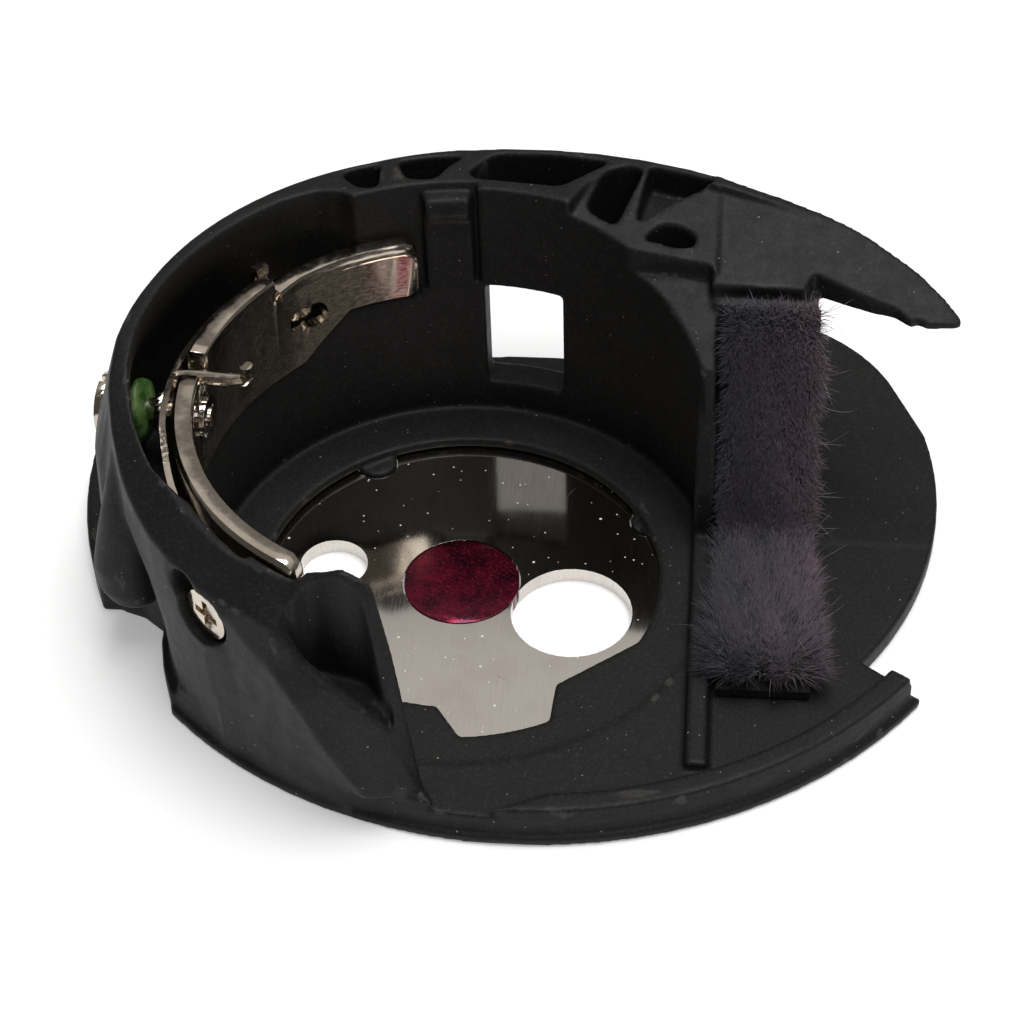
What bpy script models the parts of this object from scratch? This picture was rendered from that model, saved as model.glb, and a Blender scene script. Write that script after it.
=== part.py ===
"""Drop-in bobbin case of a rotary-hook sewing machine.

A moulded case with a steel keeper plate in its floor, a guide plate and a thread tension spring on the
left of the cup, a tension screw, and a strip of pile on the right.  Z is up, the underside is z = 0 and
the bobbin's axis is x = y = 0.  Lengths in the layout are in units of U, which follows the cup's bore.
"""
import math

import bmesh
import bpy
from mathutils import Matrix, Vector

# ---------------------------------------------------------------- driving dimensions
CUP_BORE_RADIUS = 0.0112              # clears a 20.3 mm class 15 bobbin
BORE = 10.65                          # the same radius in layout units
U = CUP_BORE_RADIUS / BORE            # metres in one layout unit
GAP = 0.06                            # clearance between pieces that touch
ABOVE = 15.0                          # a height clear of the object's top, for cutters

RIM_TOP = 13.4
SEAT_TOP = 1.25                       # ledge that the bobbin stands on
SEAT_INNER = 8.4
DECK_TOP = 1.3                        # floor in front of the cup
LOBE_TOP = 1.0
CHANNEL_FLOOR = 0.96
WING_POCKET_FLOOR = 6.0
WING_POCKET_INNER = 11.05
WING_POCKET_OUTER = 12.25
# Top of the wall outside the wing's pocket: angle, then height.
WING_LIP = [(244.6, [9.5]), (249.0, [8.0]), (254.0, [7.2]), (259.5, [6.3]), (264.0, [4.9])]
LIP_TOP = 0.45                        # thin lip below the flange's groove
FLANGE_RIM_TOP = 1.75

HOOK = (3.0, 6.5)                     # centre of the flange that turns in the hook race
FLANGE_RADIUS = 20.0
FLANGE_GROOVE_RADIUS = 19.72
FLANGE_RIM_INNER = 18.7
LOBE_RADIUS = 17.25
RIM_POCKET_FLOOR = 10.2
EAR_CENTRE = (11.0, 10.2)
EAR_RADIUS = 8.2
STOP_FACE_Y = -1.9                    # front end of the flange's left segment
FLANGE_START = -135.0                 # degrees about HOOK
FLANGE_END = -37.0

PLATE_RADIUS = 9.5
PLATE_BOTTOM = 0.0
PLATE_TOP = 0.7
PLATE_HOLES = [((4.76, -1.55), 2.55), ((-5.57, 0.74), 1.45)]      # centre and radius
MAGNET_RADIUS = 2.45
PEG_RADIUS = 0.85
PEGS = [(-4.45, 7.1), (7.85, 4.05)]

CHANNEL_X = (10.35, 14.5)             # ends of the wall behind the pile strip
CHANNEL_FOOT_Y = 2.6                  # where that wall's front face would meet z = 0
CHANNEL_LEAN = 0.367                  # its run back per unit of height
HORN_UNDERSIDE = 10.5
RIM_ARC_CENTRE = (2.2, -6.52)
RIM_ARC_RADIUS = 20.25

GUIDE_INNER = 10.5
GUIDE_OUTER = 11.05
GUIDE_SEAT_RADIUS = 11.12             # the wall behind the guide plate
SCREW_ANGLE = 173.0                   # tension screw
SCREW_HEIGHT = 8.5
BOSS_ANGLE = 194.5
MOUNT_SCREW_ANGLE = 228.0
MOUNT_SCREW_HEIGHT = 8.0
RECESS_SLOT_ANGLE = 224.0
REAR_SCREW_ANGLE = 132.0
REAR_SCREW_HEIGHT = 8.45
MOUNT_HOLE_RADIUS = 0.66              # clears the mounting screws' shanks

BUSH_RADIUS = 0.9
THREAD_RADIUS = 0.42
SPRING_ROOT_RADIUS = 11.3             # where the leaf is held, and the screw's collar
SCREW_COLLAR_RADIUS = 12.05

PILE_X = (10.85, 14.6)
PILE_FRONT = -6.2
BACKING_TOP = 10.8
BACKING_THICK = 0.4
PILE_TOP = 11.5
PILE_THICK = 1.4


# ---------------------------------------------------------------- drawing helpers
def polar(radius, degrees, centre=(0.0, 0.0)):
    """A point on a circle, in layout units."""
    angle = math.radians(degrees)
    return (centre[0] + radius * math.cos(angle), centre[1] + radius * math.sin(angle))


def arc(radius, start, end, centre=(0.0, 0.0), step=4.0):
    """Points along an arc from start to end degrees."""
    count = max(2, int(abs(end - start) / step) + 1)
    return [polar(radius, start + (end - start) * i / count, centre) for i in range(count + 1)]


def circle(radius, centre=(0.0, 0.0), count=48):
    """Points round a whole circle."""
    return [polar(radius, 360.0 * i / count, centre) for i in range(count)]


def rounded(points, radius, steps=3):
    """The outline with each corner swapped for a short curve."""
    result = []
    for index, point in enumerate(points):
        corner = Vector(point)
        before = Vector(points[index - 1]) - corner
        after = Vector(points[(index + 1) % len(points)]) - corner
        reach = min(radius, before.length * 0.45, after.length * 0.45)
        start = corner + before.normalized() * reach
        end = corner + after.normalized() * reach
        for i in range(steps + 1):
            t = i / steps
            blend = start * (1 - t) ** 2 + corner * 2 * t * (1 - t) + end * t ** 2
            result.append((blend.x, blend.y))
    return result


# ---------------------------------------------------------------- object helpers
def make_collection(name):
    collection = bpy.data.collections.new(name)
    bpy.context.scene.collection.children.link(collection)
    return collection


def make_material(name, colour, roughness, metallic):
    material = bpy.data.materials.new(name)
    material.use_nodes = True
    shader = material.node_tree.nodes["Principled BSDF"]
    shader.inputs["Base Color"].default_value = (*colour, 1.0)
    shader.inputs["Roughness"].default_value = roughness
    shader.inputs["Metallic"].default_value = metallic
    material.diffuse_color = (*colour, 1.0)
    return material


def move_to(obj, collection):
    for owner in list(obj.users_collection):
        owner.objects.unlink(obj)
    collection.objects.link(obj)
    return obj


def as_tool(obj):
    """Keep a construction solid out of the finished object."""
    move_to(obj, TOOLS)
    obj.hide_render = True
    obj.display_type = "WIRE"
    return obj


def prism(name, outline, bottom, top):
    """A flat outline stood up between two heights, as a closed mesh."""
    curve = bpy.data.curves.new(name, "CURVE")
    curve.dimensions = "2D"
    curve.fill_mode = "BOTH"
    curve.extrude = (top - bottom) / 2
    spline = curve.splines.new("POLY")
    spline.points.add(len(outline) - 1)
    for point, (x, y) in zip(spline.points, outline):
        point.co = (x, y, 0.0, 1.0)
    spline.use_cyclic_u = True
    drawn = bpy.data.objects.new(name + "_outline", curve)
    drawn.location = (0.0, 0.0, (top + bottom) / 2)
    bpy.context.scene.collection.objects.link(drawn)
    bpy.context.view_layer.update()
    evaluated = drawn.evaluated_get(bpy.context.evaluated_depsgraph_get())
    mesh = bpy.data.meshes.new_from_object(evaluated)
    solid = bpy.data.objects.new(name, mesh)
    solid.matrix_world = drawn.matrix_world.copy()
    bpy.data.objects.remove(drawn)
    bpy.data.curves.remove(curve)
    work = bmesh.new()
    work.from_mesh(mesh)
    bmesh.ops.remove_doubles(work, verts=work.verts, dist=0.002)
    bmesh.ops.recalc_face_normals(work, faces=work.faces)
    work.to_mesh(mesh)
    work.free()
    return as_tool(solid)


def link(name, mesh):
    obj = bpy.data.objects.new(name, mesh)
    bpy.context.scene.collection.objects.link(obj)
    return obj


def side_prism(name, outline, left, right):
    """An outline drawn in (y, z), drawn out along X between left and right."""
    solid = prism(name, outline, left, right)
    solid.data.transform(solid.matrix_world)
    solid.matrix_world = Matrix.Identity(4)
    solid.data.transform(Matrix(((0, 0, 1, 0), (1, 0, 0, 0), (0, 1, 0, 0), (0, 0, 0, 1))))
    return solid


def loft(name, sections):
    """A closed solid through rings of points that all have the same count."""
    work = bmesh.new()
    rings = [[work.verts.new(point) for point in ring] for ring in sections]
    for lower, upper in zip(rings, rings[1:]):
        for i in range(len(lower)):
            j = (i + 1) % len(lower)
            work.faces.new((lower[i], lower[j], upper[j], upper[i]))
    work.faces.new(rings[0][::-1])
    work.faces.new(rings[-1])
    bmesh.ops.recalc_face_normals(work, faces=work.faces)
    mesh = bpy.data.meshes.new(name)
    work.to_mesh(mesh)
    work.free()
    return as_tool(link(name, mesh))


def drum(name, radius, length, location, axis=(0.0, 0.0, 1.0), top_radius=None, sides=32):
    """A cylinder or cone along an axis, centred on location."""
    work = bmesh.new()
    end = radius if top_radius is None else top_radius
    bmesh.ops.create_cone(work, cap_ends=True, segments=sides, radius1=radius, radius2=end, depth=length)
    mesh = bpy.data.meshes.new(name)
    work.to_mesh(mesh)
    work.free()
    obj = link(name, mesh)
    obj.rotation_mode = "QUATERNION"
    obj.rotation_quaternion = Vector((0, 0, 1)).rotation_difference(Vector(axis))
    obj.location = Vector(location)
    return as_tool(obj)


def half_space(name, point, normal, reach=30.0):
    """A large block whose face passes through point, on the side that normal points to."""
    work = bmesh.new()
    bmesh.ops.create_cube(work, size=2 * reach)
    bmesh.ops.translate(work, verts=work.verts, vec=(0, 0, reach))
    mesh = bpy.data.meshes.new(name)
    work.to_mesh(mesh)
    work.free()
    obj = link(name, mesh)
    obj.rotation_mode = "QUATERNION"
    obj.rotation_quaternion = Vector((0, 0, 1)).rotation_difference(Vector(normal))
    obj.location = Vector(point)
    return as_tool(obj)


def combine(target, tool, operation):
    """Apply one Boolean and tidy the seams that it leaves."""
    modifier = target.modifiers.new(operation.title() + " " + tool.name, "BOOLEAN")
    modifier.operation = operation
    modifier.solver = "EXACT"
    modifier.object = tool
    bpy.context.view_layer.update()
    worked = bpy.data.meshes.new_from_object(target.evaluated_get(bpy.context.evaluated_depsgraph_get()))
    target.modifiers.remove(modifier)
    tidy_mesh(worked)
    target.data = worked
    return target


def tidy_mesh(mesh):
    work = bmesh.new()
    work.from_mesh(mesh)
    bmesh.ops.remove_doubles(work, verts=work.verts, dist=0.001)
    bmesh.ops.dissolve_degenerate(work, edges=work.edges, dist=0.001)
    work.to_mesh(mesh)
    work.free()


def cut(target, *tools):
    for tool in tools:
        combine(target, tool, "DIFFERENCE")
    return target


def join(target, *tools):
    for tool in tools:
        combine(target, tool, "UNION")
    return target


def finish(obj, name, material, pivot=(0.0, 0.0, 0.0), sharp=35.0):
    """Turn a worked solid into a named part at its real size, with its origin at pivot."""
    mesh = obj.data.copy()
    mesh.transform(Matrix.Scale(U, 4) @ Matrix.Translation(Vector(pivot)).inverted() @ obj.matrix_world)
    mesh.materials.clear()
    mesh.materials.append(material)
    mesh.shade_smooth()
    mesh.set_sharp_from_angle(angle=math.radians(sharp))
    part = bpy.data.objects.new(name, mesh)
    part.location = Vector(pivot) * U
    PARTS.objects.link(part)
    return part


def sweep(name, keys, section, step=3.0):
    """A wall that follows the cup: section(values) gives (radius, z) points for the values at each angle.

    keys is a list of (angle, values); the values between two keys are blended.
    """
    rings = []
    for (start, first), (end, last) in zip(keys, keys[1:]):
        count = max(1, round(abs(end - start) / step))
        for i in range(count):
            rings.append((start + (end - start) * i / count, mix(first, last, i / count)))
    rings.append(keys[-1])
    return loft(name, [[(*polar(r, angle), z) for r, z in section(values)] for angle, values in rings])


def mix(first, last, t):
    return [a + (b - a) * t for a, b in zip(first, last)]


def radial(degrees):
    """Unit vector pointing away from the bobbin's axis."""
    return (*polar(1.0, degrees), 0.0)


def on_cylinder(radius, degrees, z):
    return (*polar(radius, degrees), z)


# ---------------------------------------------------------------- the moulded case
# Keys round the left wall and the front wing: angle, then the radius and height of the outer foot's
# bulge, of the outer ridge, and of the top's inner edge.
LEFT_WALL = [
    (88.0, [13.7, 5.0, 13.6, 9.0, 13.55, 13.4, 12.0, 13.4]),
    (94.0, [13.7, 5.0, 13.6, 9.0, 13.55, 13.4, 12.0, 13.4]),
    (110.0, [13.9, 5.0, 13.7, 9.0, 13.25, 13.4, 12.0, 13.4]),
    (130.0, [14.2, 5.0, 13.95, 9.0, 13.2, 13.4, 12.0, 13.4]),
    (150.0, [14.55, 5.0, 14.25, 9.0, 13.15, 13.4, 12.0, 13.4]),
    (162.0, [14.7, 5.0, 14.45, 9.0, 13.1, 13.4, 12.0, 13.4]),
    (178.0, [14.75, 5.0, 14.6, 9.0, 13.2, 13.3, 12.0, 13.4]),
    (185.0, [14.7, 5.0, 14.45, 8.8, 13.25, 12.9, 12.0, 13.2]),
    (188.0, [14.5, 5.0, 14.25, 8.5, 13.3, 12.6, 12.0, 13.0]),
    (190.0, [13.6, 4.8, 13.95, 8.4, 13.3, 12.4, 12.0, 12.8]),
    (196.0, [12.5, 4.6, 13.5, 8.3, 13.3, 11.7, 11.9, 12.4]),
    (203.0, [12.65, 4.4, 13.3, 8.0, 13.3, 10.9, 11.9, 11.95]),
    (209.0, [12.85, 4.2, 13.2, 7.6, 13.25, 10.5, 11.9, 11.6]),
    (215.0, [13.0, 4.0, 13.2, 7.0, 13.2, 10.2, 11.9, 11.3]),
    (228.0, [12.95, 3.0, 13.2, 8.4, 12.95, 9.6, 11.8, 11.0]),
    (234.0, [12.75, 3.0, 12.9, 8.9, 12.7, 9.4, 11.6, 10.8]),
    (239.0, [12.75, 2.5, 13.05, 8.3, 12.7, 9.6, 11.4, 10.75]),
    (244.0, [12.75, 2.0, 13.2, 7.7, 12.75, 9.5, 11.25, 10.7]),
    (249.0, [12.8, 2.0, 13.4, 6.4, 12.75, 8.0, 11.15, 11.1]),
    (254.0, [12.85, 1.7, 13.5, 4.4, 12.75, 7.2, 10.98, 11.6]),
    (259.5, [12.8, 1.5, 13.3, 1.9, 12.7, 6.3, 10.9, 11.2]),
    (264.0, [12.65, 1.45, 12.95, 1.8, 12.45, 4.6, 10.85, 10.0]),
    (268.0, [12.5, 1.42, 12.7, 1.65, 12.3, 2.2, 10.8, 6.5]),
    (272.0, [12.4, 1.5, 12.0, 1.55, 11.8, 1.6, 10.75, 7.0]),
]


def wall_section(v):
    foot_r, foot_z, waist_r, waist_z, ridge_r, ridge_z, top_r, top_z = v
    return [(9.6, -2.0), (foot_r - 0.2, -2.0), (foot_r, foot_z), (waist_r, waist_z), (ridge_r, ridge_z),
            (top_r, top_z), (9.6, top_z)]


def pocket_section(v):
    """The space behind the guide plate, wider below the rim."""
    rim_r, belly_r, floor_z, top_z = v
    inner = GUIDE_SEAT_RADIUS - 0.02
    return [(inner, floor_z), (belly_r, floor_z), (belly_r, 9.4), (rim_r, top_z), (rim_r, ABOVE),
            (inner, ABOVE)]


SPRING_POCKET = [
    (117.0, [11.15, 11.2, 6.6, 12.9]),
    (119.0, [11.7, 11.75, 6.5, 12.9]),
    (123.0, [12.15, 12.4, 6.4, 12.9]),
    (130.0, [12.35, 12.8, 6.2, 12.9]),
    (150.0, [12.45, 13.2, 6.0, 12.9]),
    (173.0, [12.5, 13.6, 6.0, 12.9]),
    (185.0, [12.5, 13.4, 6.0, 12.6]),
    (195.0, [12.4, 12.8, 6.0, 11.8]),
    (206.0, [12.1, 12.3, 6.0, 11.0]),
    (214.0, [11.6, 11.7, 6.0, 10.6]),
    (219.0, [11.2, 11.25, 6.0, 10.4]),
]


def back_edge(x):
    """Rear outline of the rim, as a y for an x."""
    return RIM_ARC_CENTRE[1] + math.sqrt(RIM_ARC_RADIUS ** 2 - (x - RIM_ARC_CENTRE[0]) ** 2)


def channel_face(z, proud=0.0):
    """Y of the leaning wall behind the pile at a height, or of a face that stands proud of it."""
    return CHANNEL_FOOT_Y + CHANNEL_LEAN * z - proud * math.hypot(1.0, CHANNEL_LEAN)


def base_solids():
    front = arc(FLANGE_GROOVE_RADIUS, FLANGE_START, FLANGE_END, HOOK)
    lip = arc(FLANGE_RADIUS, FLANGE_START - 0.3, FLANGE_END + 0.8, HOOK)
    lip += arc(FLANGE_RIM_INNER - 1.0, FLANGE_END, FLANGE_START, HOOK)
    rim = arc(FLANGE_GROOVE_RADIUS - 0.05, FLANGE_START + 0.3, FLANGE_END - 0.3, HOOK)
    rim += arc(FLANGE_RIM_INNER, FLANGE_END - 0.5, FLANGE_START, HOOK)
    ear = arc(EAR_RADIUS, 20.0, 122.0, EAR_CENTRE)
    lobe = [HOOK] + arc(LOBE_RADIUS, FLANGE_END - 3.0, 12.0, HOOK) + ear
    notch_edge = [(-11.1, -7.6), (-11.67, -6.05), (-12.0, -4.66), (-12.1, -3.3), (-8.0, -2.0)]
    stop_angle = -180.0 + math.degrees(math.asin((HOOK[1] - STOP_FACE_Y) / FLANGE_RADIUS))
    left = arc(FLANGE_RADIUS, stop_angle, -182.0, HOOK)
    left += [(-12.5, 8.0), (-9.0, 3.0), (-11.0, STOP_FACE_Y)]
    return [
        prism("deck", front + [HOOK] + notch_edge[::-1], -1.0, DECK_TOP),
        prism("lip", lip, -1.1, LIP_TOP),
        prism("flange_rim", rim, -1.2, FLANGE_RIM_TOP),
        prism("lobe", lobe, -1.3, LOBE_TOP),
        prism("cup_foot", circle(12.6), -1.4, SEAT_TOP),
        prism("left_flange", left, -1.5, FLANGE_RIM_TOP),
    ]


def rim_solids():
    """Everything right of the cup's back: the webbed rim, the block, the channel's wall and the horn."""
    back = [(x, back_edge(x)) for x in (10.8, 9.0, 7.0, 5.0, 3.0, 1.0, -1.0)]
    webs = [(-1.6, 9.0), (3.6, 9.0), (4.9, 11.6), (6.3, 12.8), (7.5, 12.4), (10.3, 11.2)]
    rim = prism("webbed_rim", back + webs, -1.6, RIM_TOP)
    block = prism("block", [(2.5, 6.0), (6.4, 8.4), (10.0, 7.75), (10.3, 7.3), (10.3, 11.4), (7.0, 12.7),
                            (4.4, 12.4)], -1.7, RIM_TOP - 0.01)
    cut(block, half_space("block_facet", (8.0, 7.8, 12.0), (0.0, -0.333, 1.0)))
    inner_wall = side_prism("inner_wall", [(1.9, -1.8), (2.25, 3.0), (2.4, 4.2), (2.9, 5.6), (3.6, 7.1),
                                           (3.9, 8.4), (4.15, 9.3), (6.8, 10.75), (7.8, 11.1), (9.5, 11.1),
                                           (9.5, -1.8)], 5.0, 10.42)
    return [rim, block, inner_wall, channel_solid(), horn_solid(), band_solid()]


def channel_solid():
    """Wall behind the pile strip, leaning back and trimmed to the rim's outline."""
    top = HORN_UNDERSIDE + 0.4
    wall = side_prism("channel_wall", [(channel_face(-1.9), -1.9), (channel_face(top), top), (11.8, top),
                                       (11.7, -1.9)], 10.2, CHANNEL_X[1])
    cut(wall, half_space("channel_back", (14.0, 10.2, 0.0), (0.42, 0.9, 0.0)))
    return wall


HORN_BACK = [(20.3, 5.7), (20.2, 5.95), (19.5, 6.9), (18.6, 7.85), (17.4, 8.82), (16.1, 9.73), (14.7, 10.45),
             (13.0, 11.15)]
HORN_FRONT = [(10.1, 7.0), (13.9, 6.9), (14.3, 7.7), (15.6, 7.05), (16.7, 6.55), (17.6, 6.2), (18.25, 5.6),
              (18.5, 5.8), (18.85, 5.55), (20.0, 5.55)]


def horn_solid():
    """The curved horn that hangs over the channel and points right."""
    horn = prism("horn", HORN_BACK + [(10.8, 11.75), (10.1, 11.9)] + HORN_FRONT, HORN_UNDERSIDE - 0.1, 14.2)
    cut(horn, half_space("horn_facet", (12.0, 11.8, 13.25), (0.0, -0.36, 1.0)),
        half_space("horn_belly", (14.5, 7.0, HORN_UNDERSIDE), (0.035, 0.0, -1.0)))
    return horn


def band_solid():
    """Raised band along the horn's back, fading out towards the tip."""
    outer = [(16.9, 9.22), (16.1, 9.76), (14.7, 10.48), (13.0, 11.18), (10.8, back_edge(10.8)), (10.2, 12.0)]
    inner = [(10.0, 11.4), (12.7, 10.72), (14.4, 10.12), (15.6, 9.65)]
    band = prism("horn_band", outer + inner, HORN_UNDERSIDE + 0.3, 14.3)
    return cut(band, half_space("band_fall", (10.6, 11.7, RIM_TOP), (0.18, 0.0, 1.0)))


def divider_solid():
    """Low rib between the cup and the pile's channel, with the post at the inner wall's foot."""
    profile = [(-10.4, -0.9), (-10.4, 1.75), (2.3, 1.75), (2.4, 4.0), (2.9, 5.4), (3.5, 6.9), (4.05, 7.6),
               (4.9, 7.7), (4.95, -0.95)]
    return side_prism("divider", profile, 9.7, 10.55)


def pockets():
    """Blind weight-saving pockets in the rim's top, and the one in the front wing."""
    return [
        prism("pocket_a", rounded([(-5.75, 11.45), (-4.92, 10.6), (-4.1, 10.62), (-4.15, 12.25),
                                   (-5.2, 11.85)], 0.35), RIM_POCKET_FLOOR, ABOVE),
        prism("pocket_b", rounded([(-3.45, 12.5), (-2.91, 11.3), (-1.74, 11.35), (-1.35, 12.2), (-0.6, 13.05),
                                   (-2.12, 12.85)], 0.35), RIM_POCKET_FLOOR, ABOVE),
        prism("pocket_c", rounded([(0.7, 13.25), (-0.35, 11.95), (-0.1, 11.52), (1.9, 11.3), (3.6, 11.1),
                                   (4.48, 11.9), (5.6, 12.9), (3.26, 13.3)], 0.35), RIM_POCKET_FLOOR, ABOVE),
        prism("pocket_d", rounded([(4.7, 10.3), (6.0, 9.5), (7.1, 12.4), (6.4, 12.7), (5.4, 12.2)], 0.45),
              8.0, ABOVE),
        prism("pocket_e", rounded([(7.35, 12.65), (7.05, 11.0), (6.85, 9.7), (8.6, 10.9),
                                   (10.2, 11.75)], 0.25), 12.0, ABOVE),
        prism("pocket_f", rounded([(7.15, 8.95), (7.9, 9.65), (8.5, 9.65), (9.35, 9.2), (9.35, 8.7),
                                   (8.8, 8.55)], 0.3), 9.0, ABOVE),
        sweep("pocket_wing_mouth", WING_LIP,
              lambda v: [(11.9, v[0]), (12.85, v[0]), (12.85, ABOVE), (11.9, ABOVE)]),
        prism("pocket_wing", rounded(arc(WING_POCKET_OUTER, 245.2, 263.5)
                                     + arc(WING_POCKET_INNER, 258.2, 247.5), 0.4), WING_POCKET_FLOOR, ABOVE),
    ]


def seat_opening():
    """Outline of the floor's opening, with its steps and its tab notch at the front."""
    outline = arc(SEAT_INNER, -25.0, 257.0) + arc(7.5, -103.0, -92.0)
    outline += arc(9.1, -85.0, -62.0) + [polar(7.5, -54.0)]
    return outline


def window_cutters():
    """The window through the cup's back, and the hollow outside that thins the wall round it."""
    outline = [polar(9.5, 69.5), polar(16.0, 70.5), polar(16.0, 87.8), polar(9.5, 88.8)]
    keys = [(62.0, [12.1]), (108.0, [12.1])]
    hollow = sweep("window_hollow", keys, lambda v: [(v[0], 1.8), (16.0, 1.8), (16.0, 9.4), (v[0], 9.4)])
    return [prism("window", outline, 2.8, 8.2), hollow]


def boss_solid():
    """Pear-shaped boss below the tension screw."""
    rings = [(2.6, 13.4, 0.8), (3.0, 13.5, 1.15), (3.7, 13.6, 1.35), (4.8, 13.6, 1.4), (6.5, 13.4, 1.2),
             (10.6, 13.0, 0.5)]
    return loft("boss", [[(x, y, z) for x, y in circle(radius, polar(reach, BOSS_ANGLE), 20)]
                         for z, reach, radius in rings])


def lug_solid():
    """Lug under the rim beside the guide plate's end, on a pilaster that runs down to the recess's foot."""
    pilaster = sweep("pilaster", [(90.8, [10.7]), (101.8, [10.7])],
                     lambda v: [(v[0], 7.9), (11.6, 7.9), (11.6, 12.9), (v[0], 12.9)])
    head = sweep("lug_head", [(91.2, [10.3]), (101.4, [10.3])],
                 lambda v: [(10.68, 11.6), (11.5, 11.7), (11.5, 13.0), (v[0] + 0.15, 13.0), (v[0], 12.8),
                            (v[0], 12.3)])
    return join(pilaster, head)


def channel_floor_cutter():
    """Sinks the floor in front of the channel's wall, as far out as the flange's rim."""
    edge = arc(FLANGE_RIM_INNER + 0.02, -65.9, -30.0, HOOK)
    back = channel_face(CHANNEL_FLOOR) - 0.01
    return prism("channel_floor", [(CHANNEL_X[0] + 0.2, back)] + edge + [(20.0, back)], CHANNEL_FLOOR, 3.0)


def screw_passages():
    """Holes for the tension screw and the two mounting screws, bored from outside."""
    tension = radial(SCREW_ANGLE)
    front = radial(MOUNT_SCREW_ANGLE)
    rear = radial(REAR_SCREW_ANGLE)
    return [
        drum("tension_hole", 0.75, 4.0, on_cylinder(13.5, SCREW_ANGLE, SCREW_HEIGHT), tension, sides=20),
        drum("tension_counterbore", 1.45, 4.0, on_cylinder(16.3, SCREW_ANGLE, SCREW_HEIGHT), tension),
        drum("front_hole", MOUNT_HOLE_RADIUS, 6.0, on_cylinder(12.0, MOUNT_SCREW_ANGLE, MOUNT_SCREW_HEIGHT),
             front, sides=20),
        drum("front_recess", 1.25, 4.0, on_cylinder(14.05, MOUNT_SCREW_ANGLE, MOUNT_SCREW_HEIGHT), front),
        drum("front_recess_slot", 0.75, 4.0, on_cylinder(14.35, RECESS_SLOT_ANGLE, MOUNT_SCREW_HEIGHT + 1.0),
             radial(RECESS_SLOT_ANGLE)),
        drum("rear_hole", MOUNT_HOLE_RADIUS, 6.0, on_cylinder(13.0, REAR_SCREW_ANGLE, REAR_SCREW_HEIGHT),
             rear, sides=20),
        drum("rear_recess", 1.5, 4.0, on_cylinder(15.3, REAR_SCREW_ANGLE, REAR_SCREW_HEIGHT), rear),
    ]


def guide_recess():
    """Shallow seat in the cup's wall for the guide plate."""
    seat = GUIDE_SEAT_RADIUS
    root = seat + 0.33
    keys = [(89.5, [seat, 8.35]), (103.0, [seat, 8.1]), (103.5, [seat, 7.8]), (121.6, [seat, 7.8]),
            (134.0, [seat, 6.0]), (212.0, [seat, 5.8]),
            (214.0, [root, 5.8]), (233.0, [root, 5.8]), (233.5, [seat, 5.8]), (245.5, [seat, 5.8])]
    return sweep("guide_recess", keys, lambda v: [(10.0, v[1]), (v[0], v[1]), (v[0], ABOVE), (10.0, ABOVE)])


def build_case():
    body = sweep("case_core", LEFT_WALL, wall_section, 4.0)
    join(body, *base_solids())
    join(body, boss_solid(), *rim_solids())
    cut(body, drum("cup_bore", BORE, 20.0, (0, 0, SEAT_TOP + 10.0), sides=96))
    join(body, divider_solid())
    cut(body, half_space("underside", (0.0, 0.0, 0.0), (0.0, 0.0, -1.0)))
    cut(body, prism("wing_end", [(-2.05, -10.4), (-0.2, -12.25), (0.6, -14.0), (9.0, -10.0), (4.0, -4.0),
                                 (-1.5, -8.0)], DECK_TOP, 12.0))
    cut(body, prism("floor_opening", seat_opening(), -1.0, 3.0))
    cut(body, drum("plate_recess", PLATE_RADIUS + GAP, 4.0, (0, 0, PLATE_TOP + GAP - 2.0), sides=72))
    cut(body, sweep("spring_pocket", SPRING_POCKET, pocket_section))
    cut(body, guide_recess(), channel_floor_cutter(), *window_cutters(), *pockets())
    join(body, lug_solid())
    cut(body, *screw_passages())
    for index, centre in enumerate(PEGS):
        join(body, prism(f"peg_{index}", circle(PEG_RADIUS, centre, 24), PLATE_BOTTOM, 0.9))
    return finish(body, "case_body", PLASTIC)


# ---------------------------------------------------------------- metal pieces
def build_keeper():
    plate = prism("keeper_blank", circle(PLATE_RADIUS, count=72), PLATE_BOTTOM, PLATE_TOP)
    for index, (centre, radius) in enumerate(PLATE_HOLES):
        cut(plate, prism(f"keeper_hole_{index}", circle(radius, centre, 40), -1, 3))
    cut(plate, prism("magnet_hole", circle(MAGNET_RADIUS + GAP, count=40), -1, 3))
    for index, centre in enumerate(PEGS):
        cut(plate, prism(f"peg_hole_{index}", circle(PEG_RADIUS + GAP, centre, 24), -1, 3))
    return finish(plate, "keeper_plate", STEEL)


def build_magnet():
    disc = prism("magnet_blank", circle(MAGNET_RADIUS, count=40), PLATE_BOTTOM, PLATE_TOP)
    return finish(disc, "centre_magnet", LACQUER)


def strip_section(v):
    inner, outer, low, high = v
    return [(inner, low), (outer, low), (outer, high), (inner, high)]


def lipped_section(v):
    """The guide plate: a strip whose top edge is rolled inwards by lip."""
    low, high, lip = v
    tip = GUIDE_INNER - lip
    return [(GUIDE_INNER, low), (GUIDE_OUTER, low), (GUIDE_OUTER, high - 0.15), (GUIDE_OUTER - 0.15, high),
            (tip + 0.08, high), (tip, high - 0.12), (tip, high - 0.5), (GUIDE_INNER, high - 0.8)]


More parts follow.
